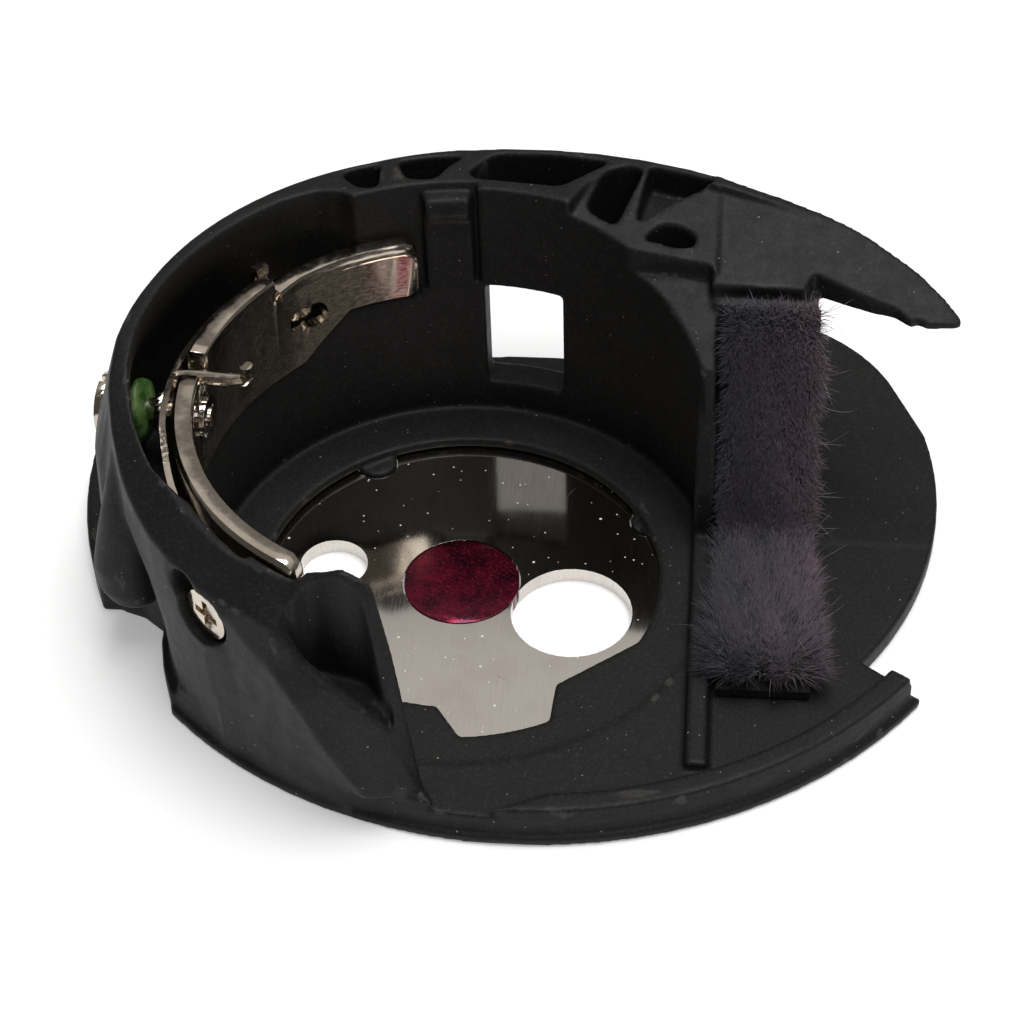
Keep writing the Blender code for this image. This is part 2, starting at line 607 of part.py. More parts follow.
# Keys round the guide plate: angle, then its lower edge, its upper edge and its lip.
GUIDE_PLATE = [
    (104.0, [8.4, 10.4, 0.05]), (105.0, [8.1, 10.8, 0.2]), (107.0, [8.0, 11.0, 0.3]),
    (121.0, [8.0, 11.0, 0.3]), (134.0, [6.2, 10.95, 0.3]), (140.2, [6.1, 10.8, 0.35]),
    (140.6, [6.1, 10.5, 0.05]), (141.2, [6.1, 10.7, 0.05]), (141.6, [6.1, 11.5, 0.3]),
    (170.3, [6.0, 11.4, 0.3]), (170.8, [6.0, 9.7, 0.05]), (176.2, [6.0, 9.7, 0.05]),
    (176.7, [6.0, 11.2, 0.3]), (190.0, [6.0, 11.1, 0.3]), (241.0, [6.0, 11.0, 0.3]),
    (243.0, [6.2, 10.8, 0.2]), (244.0, [6.6, 10.4, 0.05]),
]


def build_guide():
    guide = sweep("guide_blank", GUIDE_PLATE, lipped_section)
    oval = [(-0.35, 0.0), (0.35, 0.0)]
    for index, (dx, dz) in enumerate(oval):
        angle = REAR_SCREW_ANGLE + math.degrees(dx / GUIDE_INNER)
        cut(guide, drum(f"guide_oval_{index}", 0.62, 3.0, on_cylinder(10.8, angle, REAR_SCREW_HEIGHT + dz),
                        radial(angle), sides=20))
    cut(guide, drum("guide_bush_hole", BUSH_RADIUS + GAP, 3.0, on_cylinder(10.8, SCREW_ANGLE, SCREW_HEIGHT),
                    radial(SCREW_ANGLE)))
    mount_hole = on_cylinder(10.8, MOUNT_SCREW_ANGLE, MOUNT_SCREW_HEIGHT)
    cut(guide, drum("guide_screw_hole", MOUNT_HOLE_RADIUS, 3.0, mount_hole, radial(MOUNT_SCREW_ANGLE),
                    sides=20))
    return finish(guide, "guide_plate", NICKEL)


def span(name, radius, inner, outer, angle, height, sides=24):
    """A pin between two radii of the cup, pointing at the bobbin's axis."""
    middle = (inner + outer) / 2
    return drum(name, radius, outer - inner, on_cylinder(middle, angle, height), radial(angle), sides=sides)


def build_bush():
    bush = span("bush_blank", BUSH_RADIUS, 10.22, 11.15, SCREW_ANGLE, SCREW_HEIGHT)
    cut(bush, span("bush_bore", THREAD_RADIUS + GAP, 9.0, 12.0, SCREW_ANGLE, SCREW_HEIGHT, 20))
    return finish(bush, "guide_bush", STEEL)


def build_spring():
    """Leaf outside the guide plate, with an end tab and the finger that the thread runs under."""
    leaf_keys = [(138.9, [11.3, 11.55, 7.8, 10.5]), (147.0, [11.3, 11.55, 7.2, 10.8]),
                 (165.0, [11.3, 11.55, 6.7, 10.8]), (190.0, [11.3, 11.55, 6.6, 10.8]),
                 (196.0, [11.3, 11.55, 6.6, 9.9]), (208.0, [11.3, 11.55, 6.6, 9.7]),
                 (214.5, [11.2, 11.38, 6.6, 9.5]),
                 (229.0, [11.2, 11.38, 6.8, 9.4]),
                 (231.0, [11.2, 11.38, 7.2, 9.0])]
    leaf = sweep("leaf_blank", leaf_keys, strip_section)
    tab_keys = [(139.0, [11.12, 11.53, 11.25, 11.65]), (142.2, [11.12, 11.53, 11.25, 11.65])]
    tab_post_keys = [(138.95, [11.32, 11.52, 9.0, 11.55]), (142.25, [11.32, 11.52, 9.0, 11.55])]
    join(leaf, sweep("leaf_tab_post", tab_post_keys, strip_section),
         sweep("leaf_tab", tab_keys, strip_section))
    cut(leaf, span("leaf_hole", 0.65, 10.0, 13.0, SCREW_ANGLE, SCREW_HEIGHT))
    cut(leaf, span("leaf_root_hole", MOUNT_HOLE_RADIUS, 10.0, 13.0, MOUNT_SCREW_ANGLE, MOUNT_SCREW_HEIGHT))
    join(leaf, finger_solid())
    root = on_cylinder(SPRING_ROOT_RADIUS, MOUNT_SCREW_ANGLE, MOUNT_SCREW_HEIGHT)
    return finish(leaf, "tension_spring", NICKEL, root)


def finger_solid():
    route = [(11.42, 173.3, 10.5), (10.9, 173.3, 10.6), (10.3, 173.1, 10.62), (9.6, 173.0, 10.6),
             (9.0, 172.9, 10.58), (8.55, 172.8, 10.68), (8.35, 172.7, 10.98), (8.4, 172.7, 11.4)]
    curve = bpy.data.curves.new("finger", "CURVE")
    curve.dimensions = "3D"
    curve.bevel_depth = 0.28
    curve.bevel_resolution = 2
    curve.use_fill_caps = True
    spline = curve.splines.new("POLY")
    spline.points.add(len(route) - 1)
    for point, (radius, angle, z) in zip(spline.points, route):
        x, y = polar(radius, angle)
        point.co = (x, y, z, 1.0)
    drawn = bpy.data.objects.new("finger_curve", curve)
    bpy.context.scene.collection.objects.link(drawn)
    bpy.context.view_layer.update()
    mesh = bpy.data.meshes.new_from_object(drawn.evaluated_get(bpy.context.evaluated_depsgraph_get()))
    bpy.data.objects.remove(drawn)
    work = bmesh.new()
    work.from_mesh(mesh)
    bmesh.ops.remove_doubles(work, verts=work.verts, dist=0.002)
    bmesh.ops.recalc_face_normals(work, faces=work.faces)
    work.to_mesh(mesh)
    work.free()
    return as_tool(link("finger", mesh))


def build_tension_screw():
    screw = span("screw_blank", THREAD_RADIUS, 10.1, 12.3, SCREW_ANGLE, SCREW_HEIGHT, 20)
    join(screw,
         span("screw_collar", 1.0, SCREW_COLLAR_RADIUS, SCREW_COLLAR_RADIUS + 0.25, SCREW_ANGLE,
              SCREW_HEIGHT),
         span("screw_shank", 0.5, 12.15, 14.5, SCREW_ANGLE, SCREW_HEIGHT, 20),
         span("screw_head", 1.35, 14.36, 14.75, SCREW_ANGLE, SCREW_HEIGHT))
    slot = box("screw_slot", (0.5, 0.3, 3.4), on_cylinder(14.8, SCREW_ANGLE, SCREW_HEIGHT), SCREW_ANGLE)
    cut(screw, slot)
    return finish(screw, "tension_screw", NICKEL, on_cylinder(SCREW_COLLAR_RADIUS, SCREW_ANGLE, SCREW_HEIGHT))


def box(name, size, location, angle):
    """A block whose first side points along the radius at angle."""
    work = bmesh.new()
    bmesh.ops.create_cube(work, size=1.0)
    bmesh.ops.scale(work, verts=work.verts, vec=size)
    mesh = bpy.data.meshes.new(name)
    work.to_mesh(mesh)
    work.free()
    obj = link(name, mesh)
    obj.rotation_euler = (0.0, 0.0, math.radians(angle))
    obj.location = Vector(location)
    return as_tool(obj)


def build_thread_lock():
    seal = span("seal_blank", 1.35, 12.9, 13.35, SCREW_ANGLE, SCREW_HEIGHT - 0.15)
    cut(seal, span("seal_bore", 0.5 + GAP, 12.0, 14.0, SCREW_ANGLE, SCREW_HEIGHT, 20))
    return finish(seal, "thread_lock_seal", THREAD_LOCK)


def build_cross_screw(name, angle, height, tip, seat, head_radius):
    """A cross-recess screw whose head seats at radius seat and whose tip reaches radius tip."""
    screw = span(name + "_blank", 0.6, tip, seat + 0.3, angle, height, 20)
    join(screw, span(name + "_head", head_radius, seat + GAP, seat + 0.7, angle, height))
    face = on_cylinder(seat + 0.7, angle, height)
    cut(screw, box(name + "_cross_flat", (0.7, 1.3, 0.3), face, angle),
        box(name + "_cross_upright", (0.7, 0.3, 1.3), face, angle))
    return finish(screw, name, NICKEL)


# ---------------------------------------------------------------- pile strip
def strip_profile(low, high, front, top):
    """Outline in (y, z) of a layer that lies on the channel's floor and runs up its back wall."""
    floor = LOBE_TOP
    return [(front, floor + low), (front, floor + high),
            (channel_face(floor + high, high), floor + high), (channel_face(top, high), top),
            (channel_face(top, low), top), (channel_face(floor + low, low), floor + low)]


def build_pile():
    backing_outline = strip_profile(GAP, GAP + BACKING_THICK, PILE_FRONT, BACKING_TOP)
    finish(side_prism("backing_blank", backing_outline, *PILE_X), "pile_backing", BACKING)
    low = 2 * GAP + BACKING_THICK
    pile = side_prism("pile_blank", strip_profile(low, low + PILE_THICK, PILE_FRONT + 0.8, PILE_TOP),
                      PILE_X[0] - 0.1, PILE_X[1] + 0.1)
    finish(pile, "pile_strip", PILE)


# ---------------------------------------------------------------- build
for old in list(bpy.data.objects):
    bpy.data.objects.remove(old)

PARTS = make_collection("bobbin_case")
TOOLS = make_collection("construction")
PLASTIC = make_material("black_plastic", (0.018, 0.018, 0.019), 0.55, 0.0)
STEEL = make_material("bright_steel", (0.62, 0.61, 0.59), 0.16, 1.0)
NICKEL = make_material("polished_nickel", (0.70, 0.66, 0.60), 0.18, 1.0)
LACQUER = make_material("dark_red_lacquer", (0.14, 0.012, 0.045), 0.25, 0.4)
THREAD_LOCK = make_material("green_thread_lock", (0.05, 0.22, 0.05), 0.4, 0.0)
BACKING = make_material("black_felt", (0.02, 0.02, 0.022), 0.9, 0.0)
PILE = make_material("purple_grey_pile", (0.17, 0.15, 0.19), 0.95, 0.0)

build_case()
build_keeper()
build_magnet()
build_guide()
build_bush()
build_spring()
build_tension_screw()
build_thread_lock()
build_cross_screw("front_mounting_screw", MOUNT_SCREW_ANGLE, MOUNT_SCREW_HEIGHT, 10.45, 12.05, 1.1)
build_cross_screw("rear_mounting_screw", REAR_SCREW_ANGLE, REAR_SCREW_HEIGHT, 11.15, 13.3, 1.3)
build_pile()
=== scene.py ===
"""Looks of the bobbin case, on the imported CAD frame: moulded plastic, worn metal, pile, light and camera."""

import math

import bmesh
import bpy
import numpy as np
from mathutils import Matrix, Vector


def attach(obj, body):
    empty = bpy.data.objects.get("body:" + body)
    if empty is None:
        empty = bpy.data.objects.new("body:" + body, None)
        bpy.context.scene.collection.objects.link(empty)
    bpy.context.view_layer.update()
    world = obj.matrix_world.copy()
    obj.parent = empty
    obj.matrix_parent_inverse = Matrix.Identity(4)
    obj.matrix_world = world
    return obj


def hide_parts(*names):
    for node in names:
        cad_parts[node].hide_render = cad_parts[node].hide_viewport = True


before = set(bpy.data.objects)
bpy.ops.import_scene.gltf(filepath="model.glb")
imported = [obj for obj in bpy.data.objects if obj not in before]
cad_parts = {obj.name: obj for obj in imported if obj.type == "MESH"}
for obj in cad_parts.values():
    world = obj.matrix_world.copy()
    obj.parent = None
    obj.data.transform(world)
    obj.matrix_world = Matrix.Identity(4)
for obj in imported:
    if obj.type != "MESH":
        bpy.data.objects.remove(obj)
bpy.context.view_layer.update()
scene = bpy.context.scene

U = 0.0112 / 10.65                    # the CAD's layout unit, in metres
MM = 0.001


def polar(radius, degrees, z=0.0):
    """A point round the bobbin's axis, from layout units to metres."""
    angle = math.radians(degrees)
    return Vector((radius * math.cos(angle), radius * math.sin(angle), z)) * U


# ---------------------------------------------------------------- node helpers
class Shader:
    """A Principled material and short ways to add nodes to it."""

    def __init__(self, name, **values):
        self.material = bpy.data.materials.new(name)
        self.material.use_nodes = True
        self.tree = self.material.node_tree
        self.principled = self.tree.nodes["Principled BSDF"]
        for socket, value in values.items():
            self.principled.inputs[socket.replace("_", " ")].default_value = value
        coordinates = self.tree.nodes.new("ShaderNodeTexCoord")
        self.position = self.stretch(coordinates.outputs["Object"], (1 / MM, 1 / MM, 1 / MM))

    def node(self, kind, **settings):
        made = self.tree.nodes.new("ShaderNode" + kind)
        for key, value in settings.items():
            setattr(made, key, value)
        return made

    def link(self, output, socket):
        self.tree.links.new(output, socket)

    def put(self, node, name, value):
        """Sets an input to a value, or links it to another node's output."""
        if isinstance(value, bpy.types.NodeSocket):
            self.link(value, node.inputs[name])
        else:
            node.inputs[name].default_value = value

    def stretch(self, vector, scale):
        """The coordinates multiplied by scale, so that a pattern is longer where scale is small."""
        mapping = self.node("Mapping", vector_type="POINT")
        self.link(vector, mapping.inputs["Vector"])
        mapping.inputs["Scale"].default_value = scale
        return mapping.outputs["Vector"]

    def noise(self, scale, detail=3.0, roughness=0.55, vector=None, distortion=0.0):
        made = self.node("TexNoise")
        self.link(vector or self.position, made.inputs["Vector"])
        self.put(made, "Scale", scale)
        self.put(made, "Detail", detail)
        self.put(made, "Roughness", roughness)
        self.put(made, "Distortion", distortion)
        return made.outputs["Fac"]

    def cells(self, scale, feature="F1", vector=None):
        made = self.node("TexVoronoi", feature=feature)
        self.link(vector or self.position, made.inputs["Vector"])
        self.put(made, "Scale", scale)
        return made

    def math(self, operation, first, second):
        made = self.node("Math", operation=operation)
        for index, value in enumerate((first, second)):
            if isinstance(value, bpy.types.NodeSocket):
                self.link(value, made.inputs[index])
            else:
                made.inputs[index].default_value = value
        return made.outputs[0]

    def band(self, value, low, high, out_low=0.0, out_high=1.0):
        """A smooth step: out_low where value is below low, out_high where it is above high."""
        made = self.node("MapRange", interpolation_type="SMOOTHSTEP")
        self.put(made, "Value", value)
        ends = (("From Min", low), ("From Max", high), ("To Min", out_low), ("To Max", out_high))
        for name, number in ends:
            self.put(made, name, number)
        return made.outputs["Result"]

    def mix(self, factor, first, second):
        made = self.node("Mix", data_type="RGBA")
        self.put(made, 0, factor)
        for index, value in ((6, first), (7, second)):
            if isinstance(value, bpy.types.NodeSocket):
                self.link(value, made.inputs[index])
            else:
                made.inputs[index].default_value = (*value, 1.0)
        return made.outputs[2]

    def bump(self, height, distance, strength=1.0, normal=None):
        made = self.node("Bump")
        self.put(made, "Height", height)
        self.put(made, "Distance", distance)
        self.put(made, "Strength", strength)
        if normal is not None:
            self.link(normal, made.inputs["Normal"])
        return made.outputs["Normal"]

    def specks(self, scale, size, share):
        """Small round grains of dust: a share of the cells of a grid carry one each."""
        cell = self.cells(scale)
        near = self.band(cell.outputs["Distance"], size * 0.55, size, 1.0, 0.0)
        split = self.node("SeparateColor")
        self.link(cell.outputs["Color"], split.inputs["Color"])
        chosen = self.math("LESS_THAN", split.outputs["Red"], share)
        return self.math("MULTIPLY", near, chosen)

    def finish(self, colour, roughness, normal=None):
        self.link(colour, self.principled.inputs["Base Color"])
        self.link(roughness, self.principled.inputs["Roughness"])
        if normal is not None:
            self.link(normal, self.principled.inputs["Normal"])
        return self.material


# ---------------------------------------------------------------- materials
def plastic_material():
    """Near-black moulded plastic: fine spark-eroded grain, dust, and edges rubbed a little paler."""
    s = Shader("moulded_black", Specular_IOR_Level=0.22)
    blotch = s.noise(0.35, 4.0)
    grain = s.noise(7.0, 2.0, 0.6)
    tone = s.mix(s.band(blotch, 0.35, 0.65), (0.0080, 0.0077, 0.0075), (0.0100, 0.0096, 0.0093))
    tone = s.mix(s.band(grain, 0.48, 0.75, 0.0, 0.6), tone, (0.030, 0.029, 0.028))
    edges = s.node("NewGeometry").outputs["Pointiness"]
    worn = s.math("MULTIPLY", s.band(edges, 0.515, 0.60), s.band(s.noise(1.6, 4.0), 0.30, 0.65, 0.25, 1.0))
    tone = s.mix(s.math("MULTIPLY", worn, 0.8), tone, (0.055, 0.052, 0.050))
    dust = s.math("MAXIMUM", s.specks(1.2, 0.06, 0.40), s.specks(2.6, 0.095, 0.22))
    tone = s.mix(s.math("MULTIPLY", dust, 0.75), tone, (0.34, 0.32, 0.30))
    roughness = s.band(s.noise(1.1, 5.0, 0.7), 0.3, 0.7, 0.50, 0.60)
    fine = s.math("ADD", grain, s.math("MULTIPLY", s.noise(22.0, 2.0), 0.55))
    normal = s.bump(fine, 0.010 * MM, 0.8)
    normal = s.bump(dust, 0.02 * MM, 0.6, normal)
    return s.finish(tone, roughness, normal)


def steel_material():
    """Rolled steel sheet: fine lines along Y, hairline scratches and dust."""
    s = Shader("rolled_steel", Metallic=1.0)
    lines = s.noise(1.0, 4.0, 0.7, s.stretch(s.position, (26.0, 0.5, 1.0)))
    broad = s.noise(0.5, 3.0)
    tone = s.mix(s.band(lines, 0.3, 0.7), (0.60, 0.565, 0.53), (0.70, 0.66, 0.62))
    tone = s.mix(s.band(broad, 0.45, 0.75, 0.0, 0.35), tone, (0.50, 0.46, 0.42))
    scratch = s.cells(0.42, "DISTANCE_TO_EDGE", s.stretch(s.position, (1.0, 0.35, 1.0)))
    hairline = s.band(scratch.outputs["Distance"], 0.0, 0.006, 1.0, 0.0)
    hairline = s.math("MULTIPLY", hairline, s.band(s.noise(0.9, 2.0), 0.58, 0.68, 0.0, 0.5))
    dust = s.math("MAXIMUM", s.specks(1.1, 0.085, 0.60), s.specks(2.4, 0.12, 0.45))
    tone = s.mix(dust, tone, (0.80, 0.78, 0.74))
    roughness = s.math("ADD", s.band(lines, 0.25, 0.75, 0.05, 0.12), s.math("MULTIPLY", hairline, 0.3))
    roughness = s.math("ADD", roughness, s.math("MULTIPLY", dust, 0.6))
    s.link(s.math("SUBTRACT", 1.0, dust), s.principled.inputs["Metallic"])
    height = s.math("SUBTRACT", s.math("MULTIPLY", lines, 0.35), hairline)
    return s.finish(tone, roughness, s.bump(height, 0.0016 * MM, 0.7))


def nickel_material():
    """Polished nickel plate with a warm cast, faint waviness and rubbed marks."""
    s = Shader("polished_nickel", Metallic=1.0)
    cloud = s.noise(0.9, 4.0)
    tone = s.mix(s.band(cloud, 0.35, 0.7), (0.66, 0.59, 0.50), (0.56, 0.49, 0.41))
    marks = s.noise(3.5, 5.0, 0.65, s.stretch(s.position, (1.0, 1.0, 3.0)))
    roughness = s.band(marks, 0.35, 0.75, 0.10, 0.27)
    dust = s.specks(2.2, 0.07, 0.15)
    tone = s.mix(s.math("MULTIPLY", dust, 0.6), tone, (0.42, 0.38, 0.34))
    height = s.math("ADD", s.noise(1.3, 2.0), s.math("MULTIPLY", marks, 0.12))
    return s.finish(tone, roughness, s.bump(height, 0.004 * MM, 0.12))


def magnet_material():
    """Dark red lacquer over metal, mottled and glossy."""
    s = Shader("red_lacquer", Metallic=0.85, Coat_Weight=0.2, Coat_Roughness=0.12, Specular_IOR_Level=0.3)
    mottle = s.noise(1.1, 5.0, 0.65)
    fine = s.noise(7.0, 3.0, 0.7)
    tone = s.mix(s.band(mottle, 0.35, 0.68), (0.19, 0.010, 0.034), (0.050, 0.005, 0.020))
    tone = s.mix(s.band(fine, 0.52, 0.75, 0.0, 0.6), tone, (0.34, 0.03, 0.03))
    tone = s.mix(s.math("MULTIPLY", s.specks(3.5, 0.10, 0.30), 0.7), tone, (0.80, 0.25, 0.12))
    roughness = s.band(fine, 0.3, 0.75, 0.14, 0.34)
    return s.finish(tone, roughness, s.bump(fine, 0.010 * MM, 0.6))


def seal_material():
    """Cured green thread lock: uneven colour and a waxy gloss."""
    s = Shader("green_thread_lock", Subsurface_Weight=0.25, Subsurface_Scale=0.0003, Specular_IOR_Level=0.6)
    cloud = s.noise(1.6, 4.0)
    tone = s.mix(s.band(cloud, 0.35, 0.68), (0.035, 0.115, 0.022), (0.17, 0.30, 0.085))
    tone = s.mix(s.band(s.noise(5.0, 3.0), 0.62, 0.78), tone, (0.36, 0.44, 0.22))
    roughness = s.band(cloud, 0.3, 0.7, 0.22, 0.5)
    return s.finish(tone, roughness, s.bump(s.noise(4.0, 3.0), 0.05 * MM, 0.8))


def felt_material():
    """Black felt: a tangle of fibres, dull and slightly raised."""
    s = Shader("black_felt", Specular_IOR_Level=0.2)
    tangle = s.noise(9.0, 5.0, 0.7, distortion=1.5)
    tone = s.mix(s.band(tangle, 0.4, 0.7), (0.006, 0.006, 0.006), (0.028, 0.027, 0.027))
    return s.finish(tone, s.band(tangle, 0.3, 0.7, 0.8, 0.97), s.bump(tangle, 0.05 * MM, 1.0))


def pile_material(name, dark, light, warm):
    """Pile fibres: hairs and patches differ; painted light makes the wall's upper hairs paler and painted
    shade makes the floor's hairs darker.
    """
    s = Shader(name, Specular_IOR_Level=0.3, Sheen_Weight=0.25, Sheen_Roughness=0.5)
    hairs = s.noise(5.5, 4.0, 0.75)
    tone = s.mix(s.band(hairs, 0.40, 0.62), dark, light)
    split = s.node("SeparateXYZ")
    s.link(s.position, split.inputs["Vector"])
    # Painted light: the hairs higher up the wall are mixed towards a paler tone.
    painted_light_tone = tuple(1.25 * channel for channel in light)
    tone = s.mix(s.band(split.outputs["Z"], 2.2, 4.5, 0.0, 0.5), tone, painted_light_tone)
    patch = s.noise(0.55, 3.0, 0.6)
    tone = s.mix(s.band(patch, 0.42, 0.62, 0.0, 0.75), tone, warm)
    # Painted shade: the floor's hairs, most at the front end, are mixed towards the dark tone.
    tone = s.mix(s.band(split.outputs["Y"], 0.5, 3.0, 0.55, 0.0), tone, dark)
    return s.finish(tone, s.band(hairs, 0.3, 0.7, 0.55, 0.8))


PLASTIC = plastic_material()
STEEL = steel_material()
NICKEL = nickel_material()
LACQUER = magnet_material()
SEAL = seal_material()
FELT = felt_material()
FIBRE_BLUE = pile_material("pile_fibre_blue", (0.022, 0.021, 0.031), (0.120, 0.112, 0.148),
                           (0.094, 0.081, 0.102))
FIBRE_PINK = pile_material("pile_fibre_pink", (0.060, 0.044, 0.056), (0.235, 0.172, 0.205),
                           (0.225, 0.158, 0.188))
FIBRE_STRAY = pile_material("pile_fibre_stray", (0.12, 0.11, 0.11), (0.28, 0.25, 0.25), (0.25, 0.22, 0.22))
# Painted shade: the pad's pile colour is darkened to stand for the shade deep among the hairs.
PILE_PAINTED_SHADE = pile_material("pile_painted_shade", (0.012, 0.011, 0.016), (0.035, 0.031, 0.040), (0.035, 0.028, 0.035))


# ---------------------------------------------------------------- shapes
def add_object(name, mesh, material, body, slot, *nodes):
    """Puts a finished mesh in the scene, riding on a body and standing for the CAD nodes named."""
    obj = bpy.data.objects.new(name, mesh)
    scene.collection.objects.link(obj)
    mesh.materials.clear()
    mesh.materials.append(material)
    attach(obj, body)
    if nodes:
        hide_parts(*nodes)


WELD_DISTANCE = 1e-7                  # metres


def welded_copy(node):
    """A copy of a CAD node's mesh with its seams joined again."""
    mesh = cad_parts[node].data.copy()
    work = bmesh.new()
    work.from_mesh(mesh)
    bmesh.ops.remove_doubles(work, verts=work.verts, dist=WELD_DISTANCE)
    work.to_mesh(mesh)
    work.free()
    return mesh


def evaluate(obj):
    """Applies the object's modifiers and returns its new mesh."""
    bpy.context.view_layer.update()
    made = bpy.data.meshes.new_from_object(obj.evaluated_get(bpy.context.evaluated_depsgraph_get()))
    obj.modifiers.clear()
    return made


CASE_VOXEL = 0.085                    # millimetres
CASE_SMOOTHING = 20                   # rounds, which set how round the moulded edges are
CASE_KEPT_SHARE = 0.17                # of the remeshed triangles, so that flat stretches hold few


def moulded_case():
    """The case as it leaves the mould, with every edge a little round, worked on in millimetres."""
    mesh = welded_copy("case_body")
    mesh.transform(Matrix.Scale(1 / MM, 4))
    obj = bpy.data.objects.new("case_work", mesh)
    scene.collection.objects.link(obj)
    remesh = obj.modifiers.new("voxels", "REMESH")
    remesh.mode = "VOXEL"
    remesh.voxel_size = CASE_VOXEL
    smooth = obj.modifiers.new("round", "SMOOTH")
    smooth.factor = 0.5
    smooth.iterations = CASE_SMOOTHING
    thin = obj.modifiers.new("thin", "DECIMATE")
    thin.ratio = CASE_KEPT_SHARE
    weigh = obj.modifiers.new("weigh", "WEIGHTED_NORMAL")
    weigh.weight = 50
    mesh.shade_smooth()
    made = evaluate(obj)
    bpy.data.objects.remove(obj)
    made.transform(Matrix.Scale(MM, 4))
    made.name = "moulded_case"
    add_object("moulded_case", made, PLASTIC, "case", "black_plastic", "case_body")


LEVEL = 0.9999                        # a level face's normal is at least this far along Z


def flatten_faces(mesh):
    """Flat shading on a sheet's two broad faces, so that they mirror like a plane."""
    mesh.attributes.remove(mesh.attributes["custom_normal"])
    for face in mesh.polygons:
        if abs(face.normal.z) > LEVEL:
            face.use_smooth = False


SHARP_EDGE = math.radians(32.0)


def eased(node, name, material, body, slot, width):
    """A CAD piece with a small bevel, width in millimetres, along its sharp edges."""
    mesh = welded_copy(node)
    obj = bpy.data.objects.new(name + "_work", mesh)
    scene.collection.objects.link(obj)
    bevel = obj.modifiers.new("ease", "BEVEL")
    bevel.width = width * MM
    bevel.segments = 2
    bevel.limit_method = "ANGLE"
    bevel.angle_limit = SHARP_EDGE
    bevel.use_clamp_overlap = True
    bevel.harden_normals = True
    mesh.shade_smooth()
    mesh.set_sharp_from_angle(angle=SHARP_EDGE)
    made = evaluate(obj)
    bpy.data.objects.remove(obj)
    if material is STEEL:
        flatten_faces(made)
    add_object(name, made, material, body, slot, node)


SCREW_ANGLE = 173.0                   # degrees round the cup
SEAL_RADIUS, SEAL_HEIGHT = 13.25, 8.35
SEAL_THICK, SEAL_WIDE, SEAL_TALL = 0.52, 1.35, 1.4      # half sizes


def seal_blob():
    """Thread lock squeezed out round the screw's shank."""
    work = bmesh.new()
    bmesh.ops.create_icosphere(work, subdivisions=4, radius=1.0)
    outward = Vector((math.cos(math.radians(SCREW_ANGLE)), math.sin(math.radians(SCREW_ANGLE)), 0.0))
    sideways = Vector((-outward.y, outward.x, 0.0))
    centre = polar(SEAL_RADIUS, SCREW_ANGLE, SEAL_HEIGHT)
    for vert in work.verts:
        p = vert.co.copy()
        swell = 0.06 * math.sin(3.1 * p.x + 1.3) * math.cos(3.3 * p.y + 0.4)
        lump = 1.0 + swell + 0.03 * math.sin(5.0 * p.z + 2.0 * p.x)
        local = outward * (p.x * SEAL_THICK) + sideways * (p.y * SEAL_WIDE)
        local += Vector((0, 0, p.z * SEAL_TALL))
        vert.co = centre + local * lump * U
    mesh = bpy.data.meshes.new("seal_blob")
    work.to_mesh(mesh)
    work.free()
    mesh.shade_smooth()
    add_object("seal_blob", mesh, SEAL, "case", "green_thread_lock", "thread_lock_seal")


# ---------------------------------------------------------------- pile
PILE_MIDDLE, PILE_HALF = 12.72, 1.86  # the strip's middle and half its width, along X
FOOT_Z = 1.55                         # top of the backing on the channel's floor
WALL_FOOT_Y, WALL_LEAN = 2.6, 0.367   # where the channel's wall would meet z = 0, and its run per height
BACKING_PROUD = 0.55                  # the backing's face, proud of that wall
PILE_FRONT_Y = -5.4
PILE_TOP_Z = 11.1
FOLD_REACH = 2.4                      # how far the fold between floor and wall spreads, and its fill
FOLD_FILL = 0.55
PAD_HEIGHT = 0.75                     # of the dense pad under the separate hairs
HAIR_LENGTH = 1.22                    # over the wall, with FRONT_EXTRA more at the front end
FRONT_EXTRA = 0.22
ROOTED = 0.97                         # share of the strip's width that carries roots
SPLAYED = 0.3                         # share of its run, from the front end, where the hairs splay
FRONT_EDGE = 0.08                     # share of its run where the end hairs lean out over the front
TOP_EDGE, TOP_RUN = 0.93, 0.07        # where the top hairs start to lean out, and over what share


def pile_profile(t):
    """A point (y, z) and normal along the strip, from its front end (t = 0) up to its top (t = 1)."""
    lean = math.hypot(1.0, WALL_LEAN)
    corner_y = WALL_FOOT_Y + WALL_LEAN * FOOT_Z - BACKING_PROUD * lean
    floor_run = corner_y - PILE_FRONT_Y
    wall_run = (PILE_TOP_Z - FOOT_Z) * lean
    s = t * (floor_run + wall_run)
    along_floor = Vector((0.0, PILE_FRONT_Y + min(s, floor_run), FOOT_Z))
    climb = max(0.0, s - floor_run) / lean
    point = along_floor + Vector((0.0, WALL_LEAN * climb, climb))
    turn = min(1.0, max(0.0, (s - floor_run + FOLD_REACH) / (2 * FOLD_REACH)))
    turn = turn * turn * (3.0 - 2.0 * turn)
    hollow = FOLD_FILL * max(0.0, 1.0 - abs(s - floor_run) / FOLD_REACH) ** 2
    out = Vector((0.0, -1.0, WALL_LEAN)).normalized()
    normal = Vector((0.0, 0.0, 1.0)).lerp(out, turn).normalized()
    return point + normal * hollow, normal


def fibre_root(t, across):
    """Where a fibre stands and which way it points, splayed at the strip's edges and ends."""
    base, normal = pile_profile(t)
    base.x = PILE_MIDDLE + across * PILE_HALF * (ROOTED + 0.05 * max(0.0, SPLAYED - t) / SPLAYED)
    splay = 0.22 + 1.05 * max(0.0, 1.0 - t / SPLAYED)
    lean = Vector((splay * abs(across) ** 3 * math.copysign(1.0, across), 0.0, 0.0))
    if t < FRONT_EDGE:
        lean += Vector((0.0, -0.9, -0.25)) * (1.0 - t / FRONT_EDGE)
    if t > TOP_EDGE:
        lean += Vector((0.0, 0.15, 0.75)) * (t - TOP_EDGE) / TOP_RUN
    return base, normal + lean


